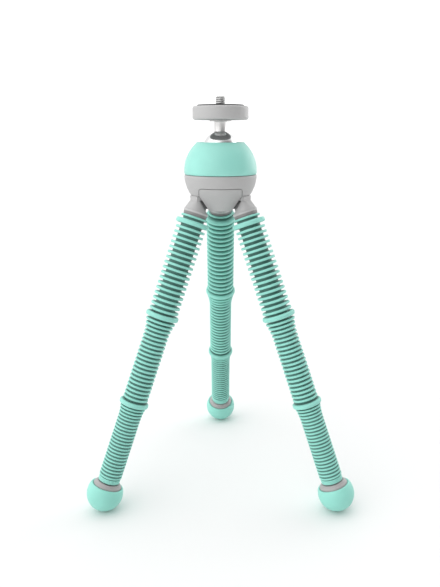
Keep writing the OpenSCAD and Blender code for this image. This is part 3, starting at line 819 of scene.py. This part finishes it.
def dress_web(side, origin, down, ridge):
    """The web under the bracket's tang beside the front panel, dark grey as painted shade."""
    near_end, far_end = 11.6 * MM, 19.9 * MM
    half_width = 2.6 * MM
    lifts = (0.4 * MM, 0.8 * MM)
    disc_mm, disc_drop, disc_points = 6.8, 1.9 * MM, 48
    axis = Vector((head_x, head_y, 0.0))
    co = cad_points(side + "_hip_bracket")
    reach = np.hypot(co[:, 0] - head_x, co[:, 1] - head_y)
    floor = co[reach < 9 * MM][:, 2].min()
    out = Vector((origin.x - head_x, origin.y - head_y, 0.0)).normalized()
    across = Vector((-out.y, out.x, 0.0))
    points = []
    for far in (near_end, far_end):
        for half in (-half_width, half_width):
            for lift in lifts:
                points.append(axis + out * far + across * half + Vector((0.0, 0.0, floor + lift)))
    end = origin + down * (ridge + disc_drop)
    level = across.cross(down).normalized()
    for k in range(disc_points):
        a = 2 * math.pi * k / disc_points
        points.append(end + (across * math.cos(a) + level * math.sin(a)) * disc_mm * MM)
    # Painted shade: the web is dark grey where it stands in the shade
    piece = hull(side + "_bracket_web", points, under_shade_shell)
    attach(piece, BODY_OF[side + "_hip_bracket"])


for side in SIDES:
    for part in SKELETON:
        cover(side + "_" + part, nylon)

for side in SIDES:
    origin = Vector(joints[side + "_" + BENDS[0]]["pos_m"])
    down = (Vector(joints[side + "_" + BENDS[-1]]["pos_m"]) - origin).normalized()
    matrix = line_frame(origin, down)
    dress_sleeves(side, origin, down, matrix)
    dress_collars(side, origin, down, matrix)
    dress_ring(side, origin, down, matrix)
    dress_foot(side, origin, down, matrix)
    dress_web(side, origin, down, paint_bracket(side, origin, down))


# Floor, light and camera

# What the camera sees behind the part, whatever lights it
BACKDROP = 1.2
# The light from all sides, and what is added to it or taken from it towards some sides:
# the side, the cosines at which the change starts and is full, and how strong it is
SKY = 1.04
SOFTBOXES = (
    ((-0.8, -0.6, 0.15), 0.2, 0.95, 0.75),
    ((0.72, -0.69, 0.0), 0.1, 0.85, -0.86),
    ((0.87, 0.5, 0.0), 0.72, 0.97, 1.5),
    ((0.0, 0.2, 1.0), 0.5, 1.0, 0.42),
)

# The photograph's camera, fitted to the collars and the feet
FOCAL_PIXELS = 610.5
PICTURE_PIXELS = 587
SHIFT_PIXELS = -0.5
SENSOR_MM = 36.0
EYE_DISTANCE = 0.4375
EYE_HEIGHT = 0.26635
EYE_TILT = 15.02


def stage_floor():
    """A wide, plain, pale floor."""
    size = 6.0
    corners = [(-size, -size, 0), (size, -size, 0), (size, size, 0), (-size, size, 0)]
    mesh = bpy.data.meshes.new("floor")
    mesh.from_pydata(corners, [], [(0, 1, 2, 3)])
    g = Graph("floor_paint")
    white = (0.85, 0.85, 0.85, 1.0)
    matt = g.finish(Base_Color=white, Roughness=0.9, Specular_IOR_Level=0.1)
    floor = place_mesh("floor", mesh, matt)


def studio():
    """White light all round: brightest at the front left, with a dark flag at the front right."""
    world = bpy.data.worlds.new("studio")
    bpy.context.scene.world = world
    world.use_nodes = True
    tree = world.node_tree
    background = tree.nodes["Background"]
    place = tree.nodes.new("ShaderNodeTexCoord").outputs["Generated"]
    total = None
    for aim, start, end, power in SOFTBOXES:
        dot = tree.nodes.new("ShaderNodeVectorMath")
        dot.operation = "DOT_PRODUCT"
        tree.links.new(place, dot.inputs[0])
        dot.inputs[1].default_value = Vector(aim).normalized()
        spread = tree.nodes.new("ShaderNodeMapRange")
        spread.interpolation_type = "SMOOTHSTEP"
        tree.links.new(dot.outputs["Value"], spread.inputs["Value"])
        ends = (("From Min", start), ("From Max", end), ("To Min", 0.0), ("To Max", power))
        for key, number in ends:
            spread.inputs[key].default_value = number
        add = tree.nodes.new("ShaderNodeMath")
        tree.links.new(spread.outputs["Result"], add.inputs[0])
        if total is None:
            add.inputs[1].default_value = SKY
        else:
            tree.links.new(total, add.inputs[1])
        total = add.outputs["Value"]
    by_camera = tree.nodes.new("ShaderNodeLightPath").outputs["Is Camera Ray"]
    seen = tree.nodes.new("ShaderNodeMix")
    tree.links.new(by_camera, seen.inputs["Factor"])
    tree.links.new(total, seen.inputs["A"])
    seen.inputs["B"].default_value = BACKDROP
    tree.links.new(seen.outputs["Result"], background.inputs["Strength"])
    background.inputs["Color"].default_value = (1.0, 1.0, 1.0, 1.0)
    scene = bpy.context.scene
    scene.view_settings.view_transform = "Standard"
    scene.view_settings.look = "None"
    scene.render.film_transparent = False


def camera():
    data = bpy.data.cameras.new("camera")
    data.sensor_width = SENSOR_MM
    data.lens = FOCAL_PIXELS / PICTURE_PIXELS * data.sensor_width
    data.shift_x = SHIFT_PIXELS / PICTURE_PIXELS
    data.clip_start, data.clip_end = 0.01, 50.0
    eye = bpy.data.objects.new("camera", data)
    eye.location = (0.0, head_y - EYE_DISTANCE, EYE_HEIGHT)
    eye.rotation_euler = (math.radians(90 - EYE_TILT), 0, 0)
    bpy.context.scene.collection.objects.link(eye)
    bpy.context.scene.camera = eye


stage_floor()
studio()
camera()
